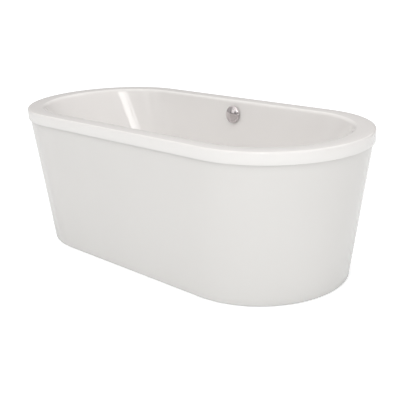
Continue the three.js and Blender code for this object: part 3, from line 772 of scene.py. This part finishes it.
def screw(length):
    """Head downwards: a pan head with a hexagon socket, and a threaded shank."""
    head, seat, socket = 0.005, 0.003, 0.0022
    profile = [(0, 0.0018), (socket, 0.0018), (socket, 0.0001), (0.0034, 0), (0.0044, 0.0006), (head, 0.0018),
               (head, seat), (0.0024, seat), *thread(0.0024, seat + 0.001, length - 0.002, 0.001, 0.0004),
               (0.0006, length), (0, length)]
    mesh = lathe("screw", profile, 24, 25)
    for vertex in mesh.vertices:
        radius = math.hypot(vertex.co.x, vertex.co.y)
        if 0.001 < radius < socket * 1.01 and vertex.co.z < seat:
            shrink = hexagon(math.atan2(vertex.co.y, vertex.co.x), radius) / radius
            vertex.co.x *= shrink
            vertex.co.y *= shrink
    return mesh


def make_screws():
    """Six go up through the rails into the board, and four down through the brackets."""
    for kind, name, count in (("rail_screw", "cradle_screw", 6), ("bracket_screw", "skirt_screw", 4)):
        for i in range(1, count + 1):
            low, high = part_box(f"{kind}_{i}")
            x, y, _ = middle(f"{kind}_{i}")
            mesh = screw(high.z - low.z)
            if kind == "rail_screw":
                moved(mesh, at(x, y, low.z))
            else:
                moved(mesh, UPSIDE_DOWN, at(x, y, high.z))
            fitting(f"{name}_{i}", mesh, "zinc_plate", f"{kind}_{i}")


def make_brackets():
    """Folded angles: one leg on the rail, the other hanging behind the skirt."""
    plate, bend = 0.003, 0.004
    for i in range(1, 5):
        node = f"skirt_bracket_{i}"
        low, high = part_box(node)
        x, y, z = middle(node)
        reach, half = high.y - low.y, (high.x - low.x) / 2
        tall = high.z - low.z
        outer = arc((reach - bend, tall - bend), bend, 0, 90, 6)
        inner = arc((reach - bend, tall - bend), bend - plate, 90, 0, 6)
        profile = [(reach - plate, 0), (reach, 0), *outer, (0, tall), (0, tall - plate), *inner]
        count = len(profile)
        points = [(side * half, py, pz) for side in (-1, 1) for py, pz in profile]
        faces = [tuple(range(count))[::-1], tuple(range(count, 2 * count))]
        faces += [(j, (j + 1) % count, count + (j + 1) % count, count + j) for j in range(count)]
        mesh = mesh_from("angle", points, faces, 30)
        hole_y = abs(middle(f"bracket_screw_{i}")[1]) - min(abs(low.y), abs(high.y))
        mesh = carve("angle", mesh, [], [moved(rod(0.0027, tall - 0.01, tall + 0.01, 32), at(0, hole_y, 0))])
        turn = Matrix.Identity(4) if y > 0 else Matrix.Rotation(math.pi, 4, "Z")
        root = low.y if y > 0 else high.y
        fitting(f"steel_angle_{i}", moved(mesh, turn, at(x, root, z)), "zinc_plate", node)


# ---- overflow, hose and cable behind the wall ----
SPIGOT, SPIGOT_BORE, SPIGOT_DEPTH, SPIGOT_END = 0.013, 0.010, 0.028, 0.046
HOSE_HEIGHT, HOSE_END = 0.086, 0.0485
CABLE_SIDE, CABLE_END, CABLE_BORE = 0.024, 0.036, 0.002
GLAND_X, GLAND_END, GLAND_Z = 0.012, 0.042, 0.116       # where the cable enters the waste
PIPE, PIPE_BORE, OUTLET_Z = 0.020, 0.0165, 0.084        # the pipe from the waste to the trap


def union_nut(pipe):
    """A moulded nut with finger grips, about the middle of its length."""
    inner, outer, half = pipe + 0.0003, pipe + 0.005, 0.010
    profile = [(inner, -half), (outer - 0.001, -half), (outer, 0.001 - half), (outer, half - 0.001),
               (outer - 0.001, half), (inner, half)]
    mesh = lathe("nut", soft(profile, 0.0006), 144)
    flute(mesh, outer - 0.0012, 18, 0.0011)
    return mesh


def make_overflow():
    """Spindle, cable drum, seal, the body behind the wall, and the nut on its spigot."""
    place = overflow_frame()
    spindle = soft([(0, -0.033), (0.004, -0.033), (0.004, 0.016), (0, 0.016)], 0.0006)
    fitting("spindle", moved(lathe("spindle", spindle, 32), place), "zinc_plate", "overflow_spindle", "knob")
    drum = [(0.0043, -0.030), (0.015, -0.030), (0.015, -0.0285), (0.012, -0.0275), (0.012, -0.0265),
            (0.015, -0.0255), (0.015, -0.024), (0.0043, -0.024)]
    fitting("drum", moved(lathe("drum", soft(drum, 0.0003), 64), place), "white_plastic", "cable_drum",
            "knob")
    seal = [(0.0255, -0.0087), (0.032, -0.0087), (0.032, -0.0063), (0.0255, -0.0063)]
    fitting("wall_seal", moved(lathe("wall_seal", soft(seal, 0.0008), 96), place), "black_rubber",
            "overflow_seal")
    inner, outer, flange, floor = 0.0244, 0.028, 0.033, -0.039
    cup = lathe("cup", soft([(0, -0.042), (outer, -0.042), (outer, -0.012), (flange, -0.012),
                             (flange, -0.009), (inner, -0.009), (inner, floor), (0, floor)], 0.001), 96)

    def neck(radius, start, end, side=0.0):
        return moved(rod(radius, start, end), ALONG_Y, at(side, 0, -SPIGOT_DEPTH))

    joined = [neck(SPIGOT, -SPIGOT_END, -0.0254), neck(0.0055, -CABLE_END, -0.008, CABLE_SIDE)]
    removed = [neck(SPIGOT_BORE, -SPIGOT_END - 0.001, -0.015),
               neck(CABLE_BORE, -CABLE_END - 0.001, -0.010, CABLE_SIDE), rod(inner, floor, -0.008, 96)]
    fitting("overflow_cup", moved(carve("overflow_cup", cup, joined, removed), place), "white_plastic",
            "overflow_body")
    nut = moved(union_nut(SPIGOT), ALONG_Y, at(0, -SPIGOT_END, -SPIGOT_DEPTH), place)
    fitting("upper_hose_nut", nut, "grey_plastic", "hose_nut_upper")


def smooth_path(points, steps):
    """Evenly spaced points on a centripetal curve through these ones."""
    knots = [2 * points[0] - points[1], *points, 2 * points[-1] - points[-2]]
    dense = []
    for a, b, c, d in zip(knots, knots[1:], knots[2:], knots[3:]):
        t1 = (b - a).length ** 0.5
        t2 = t1 + (c - b).length ** 0.5
        t3 = t2 + (d - c).length ** 0.5
        for t in np.linspace(t1, t2, 40, endpoint=False):
            first = a * ((t1 - t) / t1) + b * (t / t1)
            second = b * ((t2 - t) / (t2 - t1)) + c * ((t - t1) / (t2 - t1))
            third = c * ((t3 - t) / (t3 - t2)) + d * ((t - t2) / (t3 - t2))
            low = first * ((t2 - t) / t2) + second * (t / t2)
            high = second * ((t3 - t) / (t3 - t1)) + third * ((t - t1) / (t3 - t1))
            dense.append(low * ((t2 - t) / (t2 - t1)) + high * ((t - t1) / (t2 - t1)))
    dense.append(points[-1])
    flat = np.array([tuple(point) for point in dense])
    run = np.concatenate([[0], np.cumsum(np.linalg.norm(np.diff(flat, axis=0), axis=1))])
    along = np.linspace(0, run[-1], steps + 1)
    return [Vector(point) for point in np.column_stack([np.interp(along, run, axis) for axis in flat.T])]


def sweep(name, path, radii, sides, bore=None):
    """A pipe along a path, with a radius at every point; solid ends, or open ones if it has a bore."""
    up = Vector((1, 0, 0))
    rings = []
    for i, here in enumerate(path):
        ahead = (path[min(i + 1, len(path) - 1)] - path[max(i - 1, 0)]).normalized()
        up = (up - ahead * up.dot(ahead)).normalized()
        side = ahead.cross(up)
        rings.append((here, up.copy(), side))

    def ring(i, radius):
        here, first, second = rings[i]
        return [here + radius * (math.cos(a) * first + math.sin(a) * second)
                for a in np.linspace(0, 2 * math.pi, sides, endpoint=False)]

    last = len(path) - 1
    radii = [float(radius) for radius in radii]
    sections = [ring(i, radii[i]) for i in range(last + 1)]
    if bore is not None:
        sections += [ring(i, radii[i] - bore) for i in range(last, -1, -1)]
    return loft(name, sections, 50, capped=bore is None)


def make_hose_and_cable():
    """Both run from the overflow down the back of the basin and in under its floor."""
    place = overflow_frame()
    depth = -SPIGOT_DEPTH
    points = [place @ Vector((0, -SPIGOT_END - 0.001, depth)), place @ Vector((0, -0.075, depth))]
    points += [Vector((0, y, z)) for y, z in (
        (0.328, 0.380), (0.327, 0.260), (0.322, 0.170), (0.300, 0.115), (0.255, HOSE_HEIGHT + 0.002),
        (0.190, HOSE_HEIGHT), (0.120, HOSE_HEIGHT), (HOSE_END + 0.0005, HOSE_HEIGHT))]
    waves, groove, wall = 120, 0.0011, 0.0018
    path = smooth_path(points, waves * 6)
    share = np.arange(len(path)) / (len(path) - 1)
    cuff = np.clip(np.minimum(share, 1 - share) / 0.03 - 0.5, 0, 1)
    radii = SPIGOT - groove * cuff * (0.5 - 0.5 * np.cos(2 * math.pi * waves * share))
    hose = sweep("corrugated_hose", path, radii, 40, wall)
    fitting("corrugated_hose", hose, "white_plastic", "overflow_hose")

    points = [place @ Vector((CABLE_SIDE, -CABLE_END - 0.0005, depth)),
              place @ Vector((CABLE_SIDE, -0.060, depth))]
    points += [Vector(point) for point in (
        (0.025, 0.335, 0.400), (0.026, 0.336, 0.260), (0.028, 0.332, 0.160), (0.030, 0.305, 0.105),
        (0.030, 0.250, 0.088), (0.030, 0.180, 0.088), (0.024, 0.120, 0.098), (GLAND_X, 0.075, GLAND_Z),
        (GLAND_X, GLAND_END + 0.0003, GLAND_Z))]
    path = smooth_path(points, 160)
    radii = np.full(len(path), 0.0035)
    for end in (slice(0, 4), slice(-4, None)):
        radii[end] = 0.0032
    fitting("pull_cable", sweep("pull_cable", path, radii, 24), "black_rubber", "control_cable")


# ---- waste and trap ----
def make_waste():
    """The barrel under the basin, its seals, the plug's ring, and the nut of the hose."""
    bottom, top = [corner.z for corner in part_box("waste_body")]
    inner, outer, flange = 0.0254, 0.0294, 0.036
    floor = bottom + 0.004
    barrel = lathe("barrel", soft([(0, bottom), (outer, bottom), (outer, top - 0.004), (flange, top - 0.004),
                                   (flange, top), (inner, top), (inner, floor), (0, floor)], 0.0012), 96)

    def branch(radius, start, end, turn, x, z):
        return moved(rod(radius, start, end), turn, at(x, 0, z))

    joined = [branch(PIPE, 0.022, 0.052, ALONG_X, 0, OUTLET_Z),
              branch(SPIGOT, 0.020, HOSE_END, ALONG_Y, 0, HOSE_HEIGHT),
              branch(0.006, 0.020, GLAND_END, ALONG_Y, GLAND_X, GLAND_Z)]
    removed = [branch(PIPE_BORE, 0.010, 0.053, ALONG_X, 0, OUTLET_Z),
               branch(SPIGOT_BORE, 0.010, 0.050, ALONG_Y, 0, HOSE_HEIGHT),
               branch(CABLE_BORE, 0.010, GLAND_END + 0.001, ALONG_Y, GLAND_X, GLAND_Z),
               rod(inner, floor, top + 0.001, 96)]
    fitting("waste_barrel", carve("waste_barrel", barrel, joined, removed), "white_plastic", "waste_body")

    for name, node, outside in (("flange_gasket", "waste_gasket", 0.034),
                                ("barrel_seal", "waste_lower_seal", 0.035)):
        low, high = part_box(node)
        ring = [(WASTE_HOLE, low.z), (outside, low.z), (outside, high.z), (WASTE_HOLE, high.z)]
        fitting(name, lathe(name, soft(ring, 0.0004), 96), "black_rubber", node)
    low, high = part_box("plug_seal")
    ring = [(0.0118, low.z), (0.0204, low.z), (high.x, low.z + 0.0015), (high.x, high.z), (0.0118, high.z)]
    fitting("plug_ring", lathe("plug_ring", soft(ring, 0.0006), 96), "black_rubber", "plug_seal", "plug")
    nut = moved(union_nut(SPIGOT), ALONG_Y, at(0, HOSE_END + 0.0003, HOSE_HEIGHT))
    fitting("lower_hose_nut", nut, "grey_plastic", "hose_nut_lower")


def make_trap():
    """An upside-down cup with an inlet and an outlet, its cleaning cap, and a nut at each end."""
    bottom, top = [corner.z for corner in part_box("trap_body")]
    centre, outer, wall, outlet_z = 0.112, 0.032, 0.003, 0.078
    near, far = centre - outer, centre + outer
    cup = lathe("trap_cup", [(0, top - wall), (outer - wall, top - wall), (outer - wall, bottom),
                             (outer, bottom), *arc((outer - wall, top - wall), wall, 0, 90, 6), (0, top)], 96)

    def tube(radius, start, end, z):
        return moved(rod(radius, start, end), ALONG_X, at(-centre, 0, z))

    joined = [tube(PIPE, 0.0525, near + 0.004, OUTLET_Z), tube(PIPE, far - 0.004, 0.168, outlet_z)]
    removed = [tube(PIPE_BORE, 0.0515, near + 0.005, OUTLET_Z), tube(PIPE_BORE, far - 0.005, 0.169, outlet_z)]
    body = moved(carve("bottle_trap", cup, joined, removed), at(centre, 0, 0))
    fitting("bottle_trap", body, "white_plastic", "trap_body")

    low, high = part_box("trap_cleaning_cap")
    inner = outer + 0.0003
    rim = inner + 0.004
    cap = [(0, low.z), (rim - 0.0015, low.z), (rim, low.z + 0.0015), (rim, high.z), (inner, high.z),
           (inner, low.z + 0.004), (0, low.z + 0.004)]
    mesh = lathe("cap", soft(cap, 0.0006), 192)
    flute(mesh, rim - 0.0012, 24, 0.0012)
    fitting("cleaning_cap", moved(mesh, at(centre, 0, 0)), "grey_plastic", "trap_cleaning_cap")
    for name, node, z in (("trap_inlet_grip", "trap_inlet_nut", OUTLET_Z),
                          ("trap_outlet_grip", "trap_outlet_nut", outlet_z)):
        nut = moved(union_nut(PIPE), ALONG_X, at(middle(node)[0], 0, z))
        fitting(name, nut, "grey_plastic", node)


# ---- stage ----
CAMERA = {"azimuth": 45.05, "elevation": 18.1, "distance": 3.2626, "aim": (0.035, 0.035, 0.209),
          "roll": -2.38, "lens": 67.9, "sensor": 36.0}
FLOOR_REACH = 1500.0
FLOOR_GLOW = 0.30
SKY_STRENGTH = 1.36
SKY_TINT = (1.0, 0.968, 0.958)
SKY_LEVELS = [(0.20, 0.24), (0.54, 0.62), (0.70, 0.64), (0.94, 0.76)]
LIT = (0, 0, 0.4)                       # what every panel is turned towards
PANEL_TINT = (0.995, 1.0, 0.98)
# bearing from straight in front, height angle, distance, (width, height), power
PANELS = {
    "key_wide": (32.5, 46, 5.0, (0.80, 2.0), 32),
    "key_narrow": (22.5, 46, 5.0, (0.30, 2.0), 9),
    "faint_wide": (-16, 32, 5.0, (1.2, 1.4), 6),
    "front_left": (2, 20, 5.0, (1.75, 1.5), 3.5),
    "front": (62, 4, 5.0, (2.4, 1.3), 29),
    "left": (-32, 18, 5.0, (1.7, 1.3), 4.5),
    "left_low": (-66, 10, 5.0, (2.8, 1.4), 2.4),
    "high": (10, 66, 4.0, (4.0, 2.4), 10),
    "right_slit": (90, 40, 5.0, (0.22, 1.6), 5),
    "back": (180, 56, 5.0, (3.0, 2.0), 20),
}


def direction(bearing, rise):
    """The unit vector towards a place, by its bearing from straight in front and its height angle."""
    azimuth, elevation = math.radians(bearing), math.radians(rise)
    return Vector((math.sin(azimuth) * math.cos(elevation), -math.cos(azimuth) * math.cos(elevation),
                   math.sin(elevation)))


def make_camera():
    """The photo's viewpoint, as fitted to its outlines."""
    camera = new_object("camera", bpy.data.cameras.new("camera"))
    camera.data.lens = CAMERA["lens"]
    camera.data.sensor_width = CAMERA["sensor"]
    back = direction(CAMERA["azimuth"], CAMERA["elevation"])
    camera.location = Vector(CAMERA["aim"]) + back * CAMERA["distance"]
    roll = Matrix.Rotation(math.radians(CAMERA["roll"]), 4, "Z")
    camera.rotation_euler = (back.to_track_quat("Z", "Y").to_matrix().to_4x4() @ roll).to_euler()
    bpy.context.scene.camera = camera


def make_floor():
    """One pale plane that runs out of sight on every side, and glows a little for the camera only."""
    mesh = bpy.data.meshes.new("floor")
    corners = [(FLOOR_REACH * x, FLOOR_REACH * y, 0) for x, y in ((-1, -1), (1, -1), (1, 1), (-1, 1))]
    mesh.from_pydata(corners, [], [(0, 1, 2, 3)])
    material, nodes, links, shader = new_material("studio_floor")
    stops = [(0.2, (0.945, 0.972, 0.982)), (0.8, (0.955, 0.982, 0.990))]
    links.new(ramp(nodes, links, noise(nodes, links, 0.8, 2), stops), shader.inputs["Base Color"])
    set_inputs(shader, Roughness=0.9, Specular_IOR_Level=0.0, Emission_Color=(1, 1, 1, 1))
    glow = nodes.new("ShaderNodeMath")
    glow.operation = "MULTIPLY"
    links.new(nodes.new("ShaderNodeLightPath").outputs["Is Camera Ray"], glow.inputs[0])
    glow.inputs[1].default_value = FLOOR_GLOW
    links.new(glow.outputs[0], shader.inputs["Emission Strength"])
    mesh.materials.append(material)
    floor = new_object("floor", mesh)


def make_world():
    """A soft sky, dim at the horizon and brightest overhead, behind a plain white backdrop."""
    world = bpy.data.worlds.new("studio")
    world.use_nodes = True
    nodes, links = world.node_tree.nodes, world.node_tree.links
    background = nodes["Background"]
    height = nodes.new("ShaderNodeSeparateXYZ")
    links.new(nodes.new("ShaderNodeTexCoord").outputs["Generated"], height.inputs[0])
    stops = [(place, tuple(channel * level for channel in SKY_TINT)) for place, level in SKY_LEVELS]
    sky = ramp(nodes, links, height.outputs["Z"], stops)
    links.new(sky, background.inputs["Color"])
    background.inputs["Strength"].default_value = SKY_STRENGTH
    backdrop = nodes.new("ShaderNodeBackground")
    set_inputs(backdrop, Color=(1, 1, 1, 1), Strength=1.0)
    seen = nodes.new("ShaderNodeMixShader")
    links.new(nodes.new("ShaderNodeLightPath").outputs["Is Camera Ray"], seen.inputs["Fac"])
    links.new(background.outputs["Background"], seen.inputs[1])
    links.new(backdrop.outputs["Background"], seen.inputs[2])
    links.new(seen.outputs["Shader"], nodes["World Output"].inputs["Surface"])
    bpy.context.scene.world = world


def make_panels():
    """Softboxes round the bath, all turned towards its middle."""
    for name, (bearing, rise, distance, size, power) in PANELS.items():
        data = bpy.data.lights.new(name, "AREA")
        data.shape = "RECTANGLE"
        data.size, data.size_y = size
        data.energy = power
        data.color = PANEL_TINT
        light = new_object(name, data)
        out = direction(bearing, rise) * distance
        light.location = Vector(LIT) + out
        light.rotation_euler = out.to_track_quat("Z", "Y").to_euler()


make_basin()
make_skirt()
make_knob()
make_face_plate()
make_waste_flange()
make_plug()
make_cradle()
make_board()
make_feet()
make_screws()
make_brackets()
make_overflow()
make_hose_and_cable()
make_waste()
make_trap()
dress_cad_nodes()
make_floor()
make_world()
make_panels()
make_camera()
bpy.context.scene.view_settings.view_transform = "Standard"
